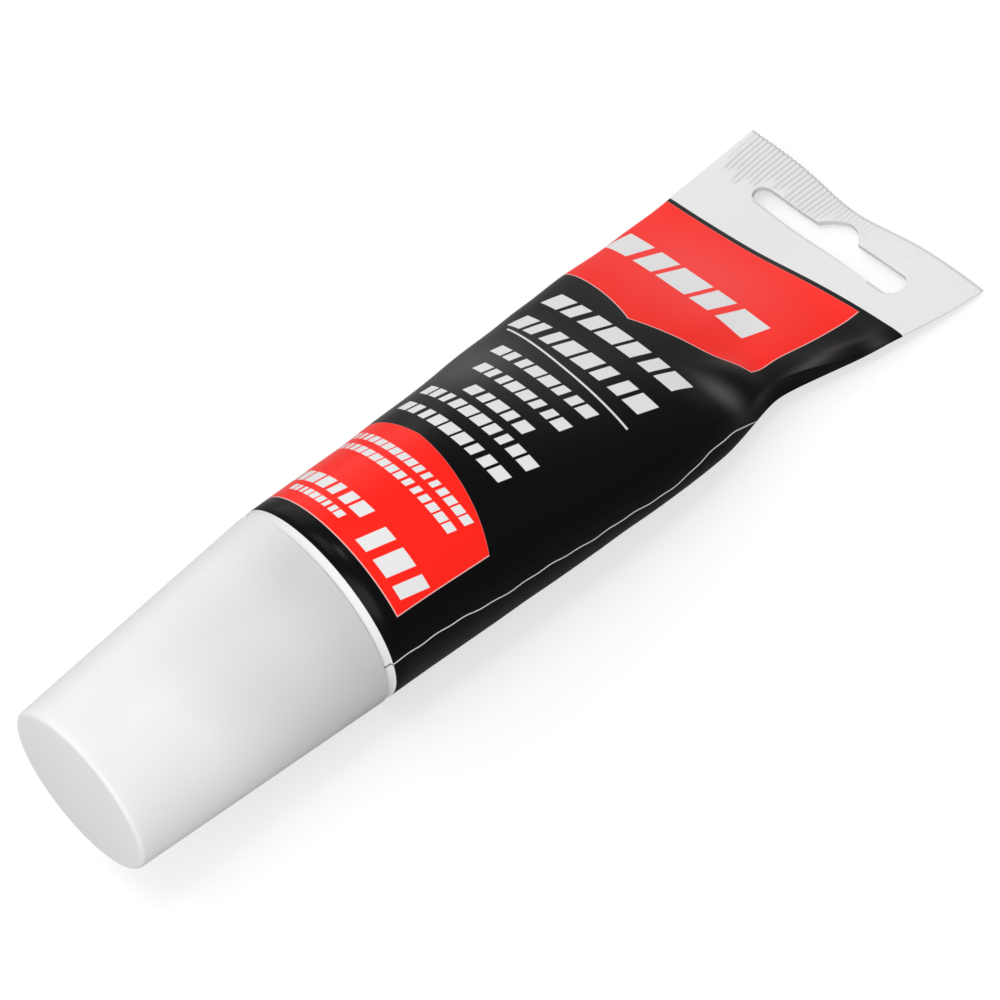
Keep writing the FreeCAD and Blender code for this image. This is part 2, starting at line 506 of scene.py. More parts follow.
        # The crimp's narrow grooves catch less light
        groove = add_node(tree, "ShaderNodeAttribute", {"attribute_name": self.groove_name}).outputs["Fac"]
        shade = formula(tree, "most * groove", most=self.groove_shade, groove=groove)
        layers += [(haze, self.painted_sheen_tone), (shade, self.groove_tone)]
        rough = formula(tree, "0.22 + 0.1 * worn + 2 * haze", worn=speckle(tree, 9.0), haze=haze)
        links = {"Base Color": laid_over(tree, self.black, layers), "Roughness": rough}
        link_shader(tree, shader, links, (0.15, 0.02, speckle(tree, 1.1)))
        return material


@dataclass(frozen=True)
class AcrylicCaulk:
    """White acrylic caulk paste, which fills the tube: dense, matt and slightly wet."""

    tone: str = "#E9E8E4"
    pale_tone: str = "#F2F1EE"
    grain: float = 1.5

    def build(self) -> bpy.types.Material:
        """Make the material."""
        material, tree, shader = new_material("acrylic_caulk_paste", {"Roughness": 0.45})
        lumps = speckle(tree, self.grain)
        tone = laid_over(tree, self.tone, [(lumps, self.pale_tone)])
        link_shader(tree, shader, {"Base Color": tone}, (0.3, 0.1, lumps))
        return material


@dataclass(frozen=True)
class NaturalPolypropylene:
    """Natural polypropylene, injection moulded: milky, so light bleeds softly through its thin wall.

    Towards the mouth on the near side, painted shade darkens its colour; its tone also varies at random in
    soft clouds.
    """

    axes: TubeAxes
    tone: str = "#EDEDED"
    mouth_shade_tone: str = "#D2D2D3"
    mouth_shade_from: float = -30.0
    mouth_shade_to: float = -3.0
    cloud: float = 16.0
    grain: float = 0.35

    def build(self) -> bpy.types.Material:
        """Make the material."""
        levels = {
            "IOR": 1.49, "Specular IOR Level": 0.3, "Subsurface Weight": 0.35,
            "Subsurface Radius": (1.0, 1.0, 1.0), "Subsurface Scale": 2.0 * MM,
        }
        material, tree, shader = new_material("natural_polypropylene", levels)
        x, y = self.axes.places(tree)
        # Painted shade: darker towards the mouth on the near side only, plus a random cloudy tone
        mouth_shade_and_cloud = formula(
            tree,
            "min(max((x - start) / (stop - start), 0), 1) * min(max(0.6 - y / 16, 0), 1)"
            " + (cloud - 0.5) * 0.8",
            x=x, y=y, start=self.mouth_shade_from, stop=self.mouth_shade_to, cloud=speckle(tree, self.cloud, 0.0),
        )
        tone = laid_over(tree, self.tone, [(mouth_shade_and_cloud, self.mouth_shade_tone)])
        rough = formula(tree, "0.36 + 0.08 * haze", haze=speckle(tree, self.cloud))
        links = {"Base Color": tone, "Roughness": rough}
        link_shader(tree, shader, links, (0.12, 0.05, speckle(tree, self.grain)))
        return material


@dataclass(frozen=True)
class MouldedPolyethylene:
    """High-density polyethylene, injection moulded: opaque, waxy, with a fine spark-eroded texture."""

    name: str
    tone: str
    shade: str
    grain: float = 0.4

    def build(self) -> bpy.types.Material:
        """Make the material."""
        levels = {"IOR": 1.54, "Subsurface Weight": 0.15, "Subsurface Scale": 1.0 * MM}
        material, tree, shader = new_material(self.name, levels)
        waxy = speckle(tree, 6.0)
        tone = laid_over(tree, self.tone, [(waxy, self.shade)])
        rough = formula(tree, "0.38 + 0.1 * waxy", waxy=waxy)
        links = {"Base Color": tone, "Roughness": rough}
        link_shader(tree, shader, links, (0.15, 0.04, speckle(tree, self.grain)))
        return material


@dataclass(frozen=True)
class LacqueredFoil:
    """Lacquered aluminium foil, pressed on the neck: bright metal, a little crumpled by the press."""

    tone: str = "#C9CACC"
    bright_tone: str = "#DADBDC"

    def build(self) -> bpy.types.Material:
        """Make the material."""
        material, tree, shader = new_material("lacquered_aluminium_foil", {"Metallic": 1.0})
        creases = speckle(tree, 1.2, 4.0)
        tone = laid_over(tree, self.tone, [(creases, self.bright_tone)])
        rough = formula(tree, "0.22 + 0.15 * creases", creases=creases)
        link_shader(tree, shader, {"Base Color": tone, "Roughness": rough}, (0.4, 0.05, creases))
        return material


# Meshes
def new_piece(name: str, points: np.ndarray, faces: list[list[int]], axes: TubeAxes) -> bpy.types.Object:
    """Make a mesh object with its place in its mesh.

    Args:
        name: Name of the piece.
        points: Corner points in the tube's own axes, in mm.
        faces: Corner numbers of each face, counter-clockwise seen from outside.
        axes: The tube's axes.

    Returns:
        The object, smooth shaded.
    """
    mesh = bpy.data.meshes.new(name)
    mesh.from_pydata(axes.placed(points).tolist(), [], faces)
    mesh.validate()
    mesh.shade_smooth()
    piece = bpy.data.objects.new(name, mesh)
    bpy.context.scene.collection.objects.link(piece)
    return piece


def settled(piece: bpy.types.Object) -> bpy.types.Object:
    """Turn a piece's live modifiers into a plain mesh.

    Args:
        piece: Object with modifiers.

    Returns:
        The same object with the finished mesh and no modifier.
    """
    graph = bpy.context.evaluated_depsgraph_get()
    mesh = bpy.data.meshes.new_from_object(piece.evaluated_get(graph), depsgraph=graph)
    piece.modifiers.clear()
    piece.data = mesh
    return piece


@dataclass(frozen=True)
class Corner:
    """Corner of a turned outline: its place and how far it is rounded, in mm."""

    x: float
    radius: float
    rounding: float = 0.0


def rounded(corners: list[Corner], closed: bool, steps: int = 6) -> list[tuple[float, float]]:
    """Round the corners of an outline with arcs.

    Args:
        corners: The outline's corners in order.
        closed: Whether the last corner joins the first.
        steps: Arc steps at each rounded corner.

    Returns:
        Points of x and radius.
    """
    outline: list[tuple[float, float]] = []
    count = len(corners)
    for i, corner in enumerate(corners):
        here = Vector((corner.x, corner.radius))
        at_end = not closed and i in (0, count - 1)
        if at_end or corner.rounding == 0:
            outline.append(tuple(here))
            continue
        before = Vector((corners[i - 1].x, corners[i - 1].radius)) - here
        after = Vector((corners[(i + 1) % count].x, corners[(i + 1) % count].radius)) - here
        half_turn = before.angle(after) / 2
        back = min(corner.rounding / math.tan(half_turn), 0.49 * before.length, 0.49 * after.length)
        middle_way = (before.normalized() + after.normalized()).normalized()
        radius = back * math.tan(half_turn)
        centre = here + middle_way * (back / math.cos(half_turn))
        start = (here + before.normalized() * back - centre).normalized()
        stop = (here + after.normalized() * back - centre).normalized()
        sweep = start.angle_signed(stop)
        for step in range(steps + 1):
            angle = sweep * step / steps
            turned = Vector((
                start.x * math.cos(angle) + start.y * math.sin(angle),
                start.y * math.cos(angle) - start.x * math.sin(angle),
            ))
            outline.append(tuple(centre + turned * radius))
    return outline


def turned_faces(rows: int, around: int, first: int, closed: bool) -> list[list[int]]:
    """Faces between rings of points.

    Args:
        rows: How many rings there are.
        around: Points in each ring.
        first: Number of the first ring's first point.
        closed: Whether the last ring joins the first.

    Returns:
        Four-cornered faces.
    """
    faces = []
    for row in range(rows if closed else rows - 1):
        here, there = first + row * around, first + (row + 1) % rows * around
        for i in range(around):
            j = (i + 1) % around
            faces.append([here + i, here + j, there + j, there + i])
    return faces


def turned_piece(
    name: str, outline: list[tuple[float, float]], axes: TubeAxes, around: int = 192
) -> bpy.types.Object:
    """Turn an outline about the tube's axis into a closed solid.

    Args:
        name: Name of the piece.
        outline: Points of x and radius, outside first. Ends on the axis close with a pole.
        axes: The tube's axes.
        around: Points in each ring.

    Returns:
        The piece, with its faces outwards.
    """
    rings = [point for point in outline if point[1] > 1e-6]
    poles = len(rings) < len(outline)
    turns = np.arange(around) * 2 * math.pi / around
    across, up = np.cos(turns), np.sin(turns)
    points = [np.stack([np.full(around, x), radius * across, radius * up], 1) for x, radius in rings]
    faces = turned_faces(len(rings), around, 0, not poles)
    if poles:
        base = len(rings) * around
        points.append(np.array([[outline[0][0], 0, 0], [outline[-1][0], 0, 0]]))
        last = base - around
        for i in range(around):
            j = (i + 1) % around
            faces.append([base, j, i])
            faces.append([base + 1, last + i, last + j])
    piece = new_piece(name, np.concatenate(points), faces, axes)
    face_outwards(piece)
    return piece


def face_outwards(piece: bpy.types.Object) -> None:
    """Flip a closed piece's faces if they enclose a negative volume."""
    mesh = piece.data
    mesh.calc_loop_triangles()
    corners = np.zeros(len(mesh.vertices) * 3)
    mesh.vertices.foreach_get("co", corners)
    triangles = np.zeros(len(mesh.loop_triangles) * 3, int)
    mesh.loop_triangles.foreach_get("vertices", triangles)
    a, b, c = corners.reshape(-1, 3)[triangles.reshape(-1, 3)].transpose(1, 0, 2)
    if np.einsum("ij,ij->i", a, np.cross(b, c)).sum() < 0:
        mesh.flip_normals()


# Sleeve
@dataclass(frozen=True)
class Crease:
    """Soft dent or ridge in the film: place and reach on the flat film, height and lean, in mm."""

    x: float
    g: float
    reach_x: float
    reach_g: float
    height: float
    lean: float = 0.0

    def lift(self, x: float, g: np.ndarray) -> np.ndarray:
        """How far the film stands out at x, for each place round the girth."""
        along = x - self.x
        return self.height * hill(along, self.reach_x) * hill(g - self.g - self.lean * along, self.reach_g)


@dataclass
class FilmSleeve:
    """Laminate film tube, welded flat at the tail, with the caulk that it holds."""

    axes: TubeAxes
    finish: PrintedLaminate
    diameter: float = 32.0
    length: float = 103.8
    seal_length: float = 15.7
    seal_thickness: float = 0.8
    rim_strip: float = 1.2
    rim_step: float = 0.3
    tail_lift: float = 2.12
    tail_shift: float = 1.6
    side_bow: float = 0.9
    side_wave: float = 1.0
    belly_power: float = 2.0
    closing_power: float = 1.25
    pinch_depth: float = 5.5
    pinch_from_tail: float = 27.5
    pinch_reach: float = 16.5
    dimple_depth: float = 1.4
    dimple_from_tail: float = 33.0
    dimple_side: float = -9.0
    dimple_length: float = 7.0
    dimple_width: float = 4.5
    far_curl: float = 0.8
    near_droop: float = 0.9
    fold_dip: float = 1.0
    fold_place: float = 0.25
    fold_reach: float = 0.3
    curl_from_tail: float = 34.0
    rest_tilt: float = 4.0
    cap_gap: float = 0.3
    end_bow: float = 1.3
    end_bow_reach: float = 9.0
    dent_height: float = 0.08
    around: int = 800
    belly_end: float = 52.0
    belly_rows: int = 20
    taper_rows: int = 50
    seal_rows: int = 28
    skirt_depth: float = 6.0
    skirt_radius: float = 13.52
    neck_end: float = 16.2
    neck_radius: float = 4.0
    slot_length: float = 32.0
    slot_width: float = 4.1
    slot_from_tail: float = 7.6
    notch_width: float = 8.5
    notch_height: float = 2.2
    slot_squeeze: float = 0.26
    rib_pitch: float = 0.9
    rib_depth: float = 0.17
    rib_run: float = 5.0
    creases: tuple[Crease, ...] = (
        Crease(71.5, 25.5, 6.5, 7.0, -1.4),
        Crease(61.8, 16.5, 2.6, 5.0, -0.9, 0.3),
        Crease(67.0, 17.0, 2.4, 5.5, 0.7, 0.2),
        Crease(71.2, 17.0, 2.0, 4.5, -0.45),
        Crease(80.0, 16.4, 6.0, 2.2, -0.35, 0.12),
        Crease(81.5, 20.6, 6.5, 1.4, 0.6, 0.12),
        Crease(57.0, -14.0, 6.0, 5.0, -0.25, 0.2),
        Crease(40.0, 17.5, 9.0, 3.0, -0.3, 0.1),
        Crease(101.4, 8.6, 2.6, 0.3, 0.12, 0.34),
        Crease(101.5, 13.0, 1.8, 0.3, 0.12, 0.44),
    )

    @property
    def radius(self) -> float:
        """Radius of the round front."""
        return self.diameter / 2

    @property
    def half_seal(self) -> float:
        """Half of the seal's thickness."""
        return self.seal_thickness / 2

    @property
    def crimp(self) -> float:
        """Where the flat seal starts."""
        return self.length - self.seal_length

    @property
    def girth(self) -> float:
        """The film's length round the tube."""
        return math.pi * self.diameter

    def flatness(self, x: float) -> float:
        """How far the film has closed at x: 0 at the rim, 1 from the seal on."""
        return min(max(x, 0.0) / self.crimp, 1.0)

    def half_thickness(self, x: float) -> float:
        """Half of the tube's thickness at x."""
        fullness = (1 - self.flatness(x) ** self.belly_power) ** self.closing_power
        return self.half_seal + (self.radius - self.half_seal) * fullness

    def centre(self, x: float) -> tuple[float, float]:
        """Place of the section's middle.

        Args:
            x: Place along the tube.

        Returns:
            Its y and z.
        """
        along = self.flatness(x)
        bent = self.side_bow * math.sin(math.pi * along) + self.side_wave * math.sin(2 * math.pi * along)
        slope = math.tan(math.radians(self.rest_tilt))
        rest = -self.radius + (min(x, self.crimp) + self.cap_gap) * slope
        return self.tail_shift * along**2 - bent, rest + self.half_thickness(x) + self.tail_lift * along**6

    def plain_outline(self, turns: np.ndarray, half_width: float, half_height: float) -> np.ndarray:
        """Section that is round, or nearly flat with tight sides.

        Args:
            turns: Angle of each point.
            half_width: Half of the section's width.
            half_height: Half of its thickness.

        Returns:
            Rows of y and z about the section's middle.
        """
        side = np.cos(turns)
        spread = side * (1.5 - 0.5 * side * side)
        y = half_height * side + (half_width - half_height) * spread
        return np.stack([y, half_height * np.sin(turns)], 1)

    def half_width(self, half_height: float) -> float:
        """Half width at which a section of this half thickness keeps the film's girth."""
        turns = np.linspace(0, 2 * math.pi, 241)
        low, high = half_height, self.girth / 2
        for _ in range(30):
            middle = (low + high) / 2
            ring = self.plain_outline(turns, middle, half_height)
            around = np.linalg.norm(np.diff(ring, axis=0), axis=1).sum()
            low, high = (low, middle) if around > self.girth else (middle, high)
        return (low + high) / 2

    def section(self, x: float) -> np.ndarray:
        """Ring of points at x, evenly spaced along the film.

        Args:
            x: Place along the tube.

        Returns:
            Rows of x, y and z that start at the top middle and go round by the near side.
        """
        half_height = self.half_thickness(x)
        half_width = self.half_width(half_height)
        turns = math.pi / 2 + np.linspace(0, 2 * math.pi, 4 * self.around + 1)
        y, z = self.plain_outline(turns, half_width, half_height).T
        near = np.maximum(0.0, -np.cos(turns)) ** 2
        y = y + self.pinch_depth * near * hill(x - (self.length - self.pinch_from_tail), self.pinch_reach)
        dimple = hill(x - (self.length - self.dimple_from_tail), self.dimple_length)
        sunk = self.dimple_depth * dimple * hill(y - self.dimple_side, self.dimple_width)
        z = z - np.where(z > 0, sunk * np.sin(turns), 0.0)
        curl = max(0.0, (x - (self.length - self.curl_from_tail)) / self.curl_from_tail) ** 2
        across = y / half_width
        z = z + curl * self.far_curl * np.maximum(0.0, across) ** 2
        z = z - curl * self.near_droop * np.maximum(0.0, -across) ** 2
        z = z - curl * self.fold_dip * hill(across - self.fold_place, self.fold_reach)
        ring = np.stack([y, z], 1)
        run = np.concatenate([[0.0], np.cumsum(np.linalg.norm(np.diff(ring, axis=0), axis=1))])
        wanted = np.arange(self.around) * run[-1] / self.around
        shift_y, shift_z = self.centre(x)
        end = max(0.0, (x - self.crimp) / self.seal_length) ** 2
        y, z = np.interp(wanted, run, ring[:, 0]), np.interp(wanted, run, ring[:, 1])
        out_y, out_z = np.roll(z, -1) - np.roll(z, 1), np.roll(y, 1) - np.roll(y, -1)
        relief = self.relief(x)
        # The underside lies on the floor, so it only dents inwards
        swell = np.where(out_z < 0, np.minimum(relief, 0.0), relief) / np.hypot(out_y, out_z)
        drawn_in = self.end_bow * end * hill(y + 1.0, self.end_bow_reach)
        return np.stack([x - drawn_in, y + shift_y + out_y * swell, z + shift_z + out_z * swell], 1)

    def relief(self, x: float) -> np.ndarray:
        """How far creases and gentle dents move each point of the section outwards at x."""
        g = ((np.arange(self.around) / self.around + 0.5) % 1.0 - 0.5) * self.girth
        turn = 2 * math.pi * g / self.girth
        inside = min(max((x - 8) / 12, 0.0), 1.0) * min(max((self.crimp - x) / 12, 0.0), 1.0)
        waves = np.sin(0.37 * x + 1.3 * np.sin(2 * turn)) * np.sin(5 * turn + 0.8 * math.sin(0.17 * x))
        return self.dent_height * inside * waves + sum(crease.lift(x, g) for crease in self.creases)

    def round_ring(self, x: float, radius: float) -> np.ndarray:
        """Ring of the same count about the tube's axis, from the top by the near side."""
        turns = math.pi / 2 + np.arange(self.around) * 2 * math.pi / self.around
        return np.stack([np.full(self.around, x), radius * np.cos(turns), radius * np.sin(turns)], 1)

    def stations(self) -> list[float]:
        """Places of the film's rings, closer together in the seal."""
        parts = [
            (self.rim_strip, self.belly_end, self.belly_rows), (self.belly_end, self.crimp, self.taper_rows),
            (self.crimp, self.length, self.seal_rows),
        ]
        places = [start + (stop - start) * i / rows for start, stop, rows in parts for i in range(rows)]
        return places + [self.length]

    def film_mesh(self) -> bpy.types.Object:
        """Closed skin of the filled tube, with the film's places in its map."""
        strip = self.radius - self.rim_step
        plain = [
            (-self.neck_end, self.neck_radius), (-self.skirt_depth, self.neck_radius),
            (-self.skirt_depth, self.skirt_radius), (0.0, self.skirt_radius), (0.0, strip - 0.08),
            (0.08, strip), (self.rim_strip - 0.05, strip), (self.rim_strip - 0.05, self.radius - 0.1),
        ]
        rings = [self.round_ring(x, radius) for x, radius in plain]
        places = [x for x, _ in plain]
        for x in self.stations():
            rings.append(self.section(x))
            places.append(x)
        count = self.around
        faces = turned_faces(len(rings), count, 0, False)
        last = (len(rings) - 1) * count
        quarter, half = count // 4, count // 2
        for i in range(quarter):
            near = [last + i, last + i + 1, last + half - i - 1, last + half - i]
            far = [last + (count - i) % count, last + half + i, last + half + i + 1, last + count - i - 1]
            faces += [list(dict.fromkeys(near)), list(dict.fromkeys(far))]
        pole = len(rings) * count
        faces += [[pole, (i + 1) % count, i] for i in range(count)]
        points = np.concatenate(rings + [np.array([[-self.neck_end, 0.0, 0.0]])])
        piece = new_piece("film_sleeve", points, faces, self.axes)
        self.add_places(piece.data, np.array(places))
        face_outwards(piece)
        return piece

    def add_places(self, mesh: bpy.types.Mesh, places: np.ndarray) -> None:
        """Store each corner's place on the flat film, as a map and as point values.

        Args:
            mesh: The film's mesh.
            places: The x of each ring.
        """
        count = self.around
        corner = np.zeros(len(mesh.loops), int)
        mesh.loops.foreach_get("vertex_index", corner)
        ring = np.minimum(corner // count, len(places) - 1)
        step = np.where(corner < len(places) * count, corner % count, 0)
        g = (step / count + 0.5) % 1.0 - 0.5
        first = np.zeros(len(mesh.polygons), int)
        total = np.zeros(len(mesh.polygons), int)
        mesh.polygons.foreach_get("loop_start", first)
        mesh.polygons.foreach_get("loop_total", total)
        face = np.repeat(np.arange(len(first)), total)
        lowest = np.minimum.reduceat(g, first)[face]
        highest = np.maximum.reduceat(g, first)[face]
        wraps = (lowest < -0.4) & (highest > 0.4) & (ring < len(places) - 1)
        g = np.where(wraps & (g < 0), g + 1.0, g)
        span = self.finish.map_span
        layer = mesh.uv_layers.new(name=self.finish.map_name)
        values = np.stack([places[ring] / span, g * self.girth / span + 0.5], 1)
        layer.uv.foreach_set("vector", values.astype(np.float32).ravel())
        points = np.arange(len(places) * count)
        along = np.append(places[points // count], places[0])
        round_g = np.append(((points % count) / count + 0.5) % 1.0 - 0.5, 0.0) * self.girth
        for name, value in (("film_x", along), ("film_g", round_g)):
            store = mesh.attributes.new(name, "FLOAT", "POINT")
            store.data.foreach_set("value", value.astype(np.float32))

    def crimp_tree(self) -> Tree:
        """Geometry nodes that press the crimp's ribs into both faces of the seal."""
        names = ("Pitch", "Depth", "Run", "Seal End", "Quarter Girth")
        tree, source = new_group("crimp_ribs", dict.fromkeys(names, "Float"))
        x = add_node(tree, "GeometryNodeInputNamedAttribute", inputs={"Name": "film_x"}).outputs[0]
        g = add_node(tree, "GeometryNodeInputNamedAttribute", inputs={"Name": "film_g"}).outputs[0]
        normal = add_node(tree, "GeometryNodeInputNormal").outputs[0]
        # Both faces of the seal share one pattern, counted from the middle to the near side
        edge = formula(tree, "q - abs(abs(g) - q)", g=g, q=source["Quarter Girth"])
        side = formula(tree, "edge * (above(g, 0) * 2 - 1)", edge=edge, g=g)
        # The far half is pressed hard and further in; towards the near side the ribs fade out
        press = formula(
            tree,
            "(0.5 + 0.5 * cos(tau * side / pitch + 0.2 * sin(x * 0.9))) ** 2"
            " * min(max((x - end + run + 0.12 * max(-side, 0) + 1.2 * sin(side * 0.55)"
            " + sin(side * 2.1)) / 1.2, 0), 1)"
            " * min(max(0.5 - 0.06 * side, 0), 1) * min(max(q - edge - 0.3, 0), 1)",
            x=x, side=side, edge=edge, q=source["Quarter Girth"], tau=2 * math.pi,
            pitch=source["Pitch"], run=source["Run"], end=source["Seal End"],
        )
        marked = add_node(
            tree, "GeometryNodeStoreNamedAttribute", {"data_type": "FLOAT", "domain": "POINT"},
            {"Geometry": source["Mesh"], "Name": self.finish.groove_name, "Value": press},
        )
        lift = formula(tree, "-depth * press", depth=source["Depth"], press=press)
        offset = add_node(tree, "ShaderNodeVectorMath", {"operation": "SCALE"}, {0: normal, "Scale": lift})
        moves = {"Geometry": marked.outputs[0], "Offset": offset.outputs[0]}
        moved = add_node(tree, "GeometryNodeSetPosition", inputs=moves)
        add_node(tree, "NodeGroupOutput", inputs={0: moved.outputs[0]})
        return tree

    def slot_cutter(self) -> bpy.types.Object:
        """Tall cutter in the shape of the hang slot and its notch."""
        end = self.slot_width / 2
        reach = self.slot_length / 2 - end
        radius = (self.notch_width**2 / 4 + self.notch_height**2) / (2 * self.notch_height)
        half_turn = math.asin(self.notch_width / 2 / radius)
        outline = [(-end * math.sin(t), -reach - end * math.cos(t)) for t in arc(-math.pi / 2, math.pi / 2)]
        outline += [(-end * math.cos(t), reach + end * math.sin(t)) for t in arc(0, math.pi)]
        notch_middle = end + self.notch_height - radius
        outline += [
            (notch_middle + radius * math.cos(t), radius * math.sin(t)) for t in arc(half_turn, -half_turn)
        ]
        middle_x, middle_y = self.length - self.slot_from_tail, self.tail_shift
        # The strip over the slot is buckled, so the slot looks narrower on the far side
        outline = [(x * (1 - self.slot_squeeze * min(max(y / 6, 0.0), 1.0)), y) for x, y in outline]
        base = [(middle_x + x, middle_y + y, -self.radius) for x, y in outline]
        top = [(x, y, self.radius) for x, y, _ in base]
        count = len(base)
        faces = [[i, (i + 1) % count, (i + 1) % count + count, i + count] for i in range(count)]
        faces += [list(range(count))[::-1], list(range(count, 2 * count))]
        cutter = new_piece("slot_cutter", np.array(base + top), faces, self.axes)
        cutter.data.shade_flat()
        face_outwards(cutter)
        layer = cutter.data.uv_layers.new(name=self.finish.map_name)
        white = (self.length / self.finish.map_span, 0.5)
        layer.uv.foreach_set("vector", np.tile(white, len(cutter.data.loops)))
        return cutter

    def build(self) -> bpy.types.Object:
        """Make the filled sleeve and dress it."""
        piece = self.film_mesh()
        wanted = {
            "Pitch": self.rib_pitch, "Depth": self.rib_depth * MM, "Run": self.rib_run,
            "Seal End": self.length, "Quarter Girth": self.girth / 4,
        }
        put_on(piece, self.crimp_tree(), wanted)
        cutter = self.slot_cutter()
        cut = piece.modifiers.new("hang_slot", "BOOLEAN")
        cut.operation = "DIFFERENCE"
        cut.solver = "EXACT"
        cut.object = cutter
        settled(piece)
        bpy.data.objects.remove(cutter)
        self.give_finishes(piece.data)
        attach(piece, Body.TUBE.value)
        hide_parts("sleeve")
        return piece

    def give_finishes(self, mesh: bpy.types.Mesh) -> None:
        """Give the outside the printed film and the filling its paste.

        Args:
            mesh: The finished sleeve's mesh.
        """
        mesh.materials.clear()
        mesh.materials.append(self.finish.build())
        mesh.materials.append(AcrylicCaulk().build())
        places = np.zeros(len(mesh.loops) * 2, np.float32)
        mesh.uv_layers[self.finish.map_name].uv.foreach_get("vector", places)
        first = np.zeros(len(mesh.polygons), int)
        mesh.polygons.foreach_get("loop_start", first)
        along = np.minimum.reduceat(places.reshape(-1, 2)[:, 0], first)
        mesh.polygons.foreach_set("material_index", (along < -0.001).astype(np.int32))


def hill(distance: Any, reach: float) -> Any:
    """Smooth bump: 1 in the middle, falling away over its reach."""
    return np.exp(-((distance / reach) ** 2))


def arc(start: float, stop: float, steps: int = 20) -> list[float]:
    """Angles from start to stop, both included."""
    return [start + (stop - start) * i / steps for i in range(steps + 1)]


# Head and foil
@dataclass
class MouldedHead:
    """Shoulder, spigot and neck that the film is welded to, with the foil over the neck's mouth."""

    axes: TubeAxes
    spigot_radius: float = 14.72
    spigot_height: float = 7.2
    wall: float = 1.2
    neck_radius: float = 6.5
    neck_length: float = 9.0
    bore_radius: float = 4.0
    foil_thickness: float = 0.15
    foil_inset: float = 0.3

    @property
    def neck_end(self) -> float:
        """Place of the neck's mouth."""
        return -self.spigot_height - self.neck_length

    def build(self) -> list[bpy.types.Object]:
        """Make the head and the foil and dress them."""
        inner = self.spigot_radius - self.wall
        corners = [
            Corner(0, self.spigot_radius, 0.1),
            Corner(-self.spigot_height, self.spigot_radius, 0.6),
            Corner(-self.spigot_height, self.neck_radius, 0.4),
            Corner(self.neck_end, self.neck_radius, 0.35),
            Corner(self.neck_end, self.bore_radius, 0.2),
            Corner(self.wall - self.spigot_height, self.bore_radius, 0.1),
            Corner(self.wall - self.spigot_height, inner, 0.1),
            Corner(0, inner, 0.1),
        ]
        head = turned_piece("moulded_head", rounded(corners, True), self.axes)
        finish = MouldedPolyethylene("high_density_polyethylene", "#E6E7E7", "#DCDDDD")
        head.data.materials.append(finish.build())
        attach(head, Body.TUBE.value)
        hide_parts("head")
        return [head, self.foil()]

    def foil(self) -> bpy.types.Object:
        """Foil disc, dished a little into the neck's bore."""
        front = self.neck_end - self.foil_thickness
        edge = self.neck_radius - self.foil_inset
        corners = [
            Corner(front + 0.08, 0.0),
            Corner(front + 0.08, self.bore_radius - 0.6, 1.0),
            Corner(front, self.bore_radius + 0.3, 1.0),
            Corner(front, edge, 0.06),
            Corner(self.neck_end, edge, 0.04),
            Corner(self.neck_end, 0.0),
        ]
        foil = turned_piece("neck_foil", rounded(corners, False), self.axes, 96)
        foil.data.materials.append(LacqueredFoil().build())
        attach(foil, Body.TUBE.value)
        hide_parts("neck_seal")
        return foil


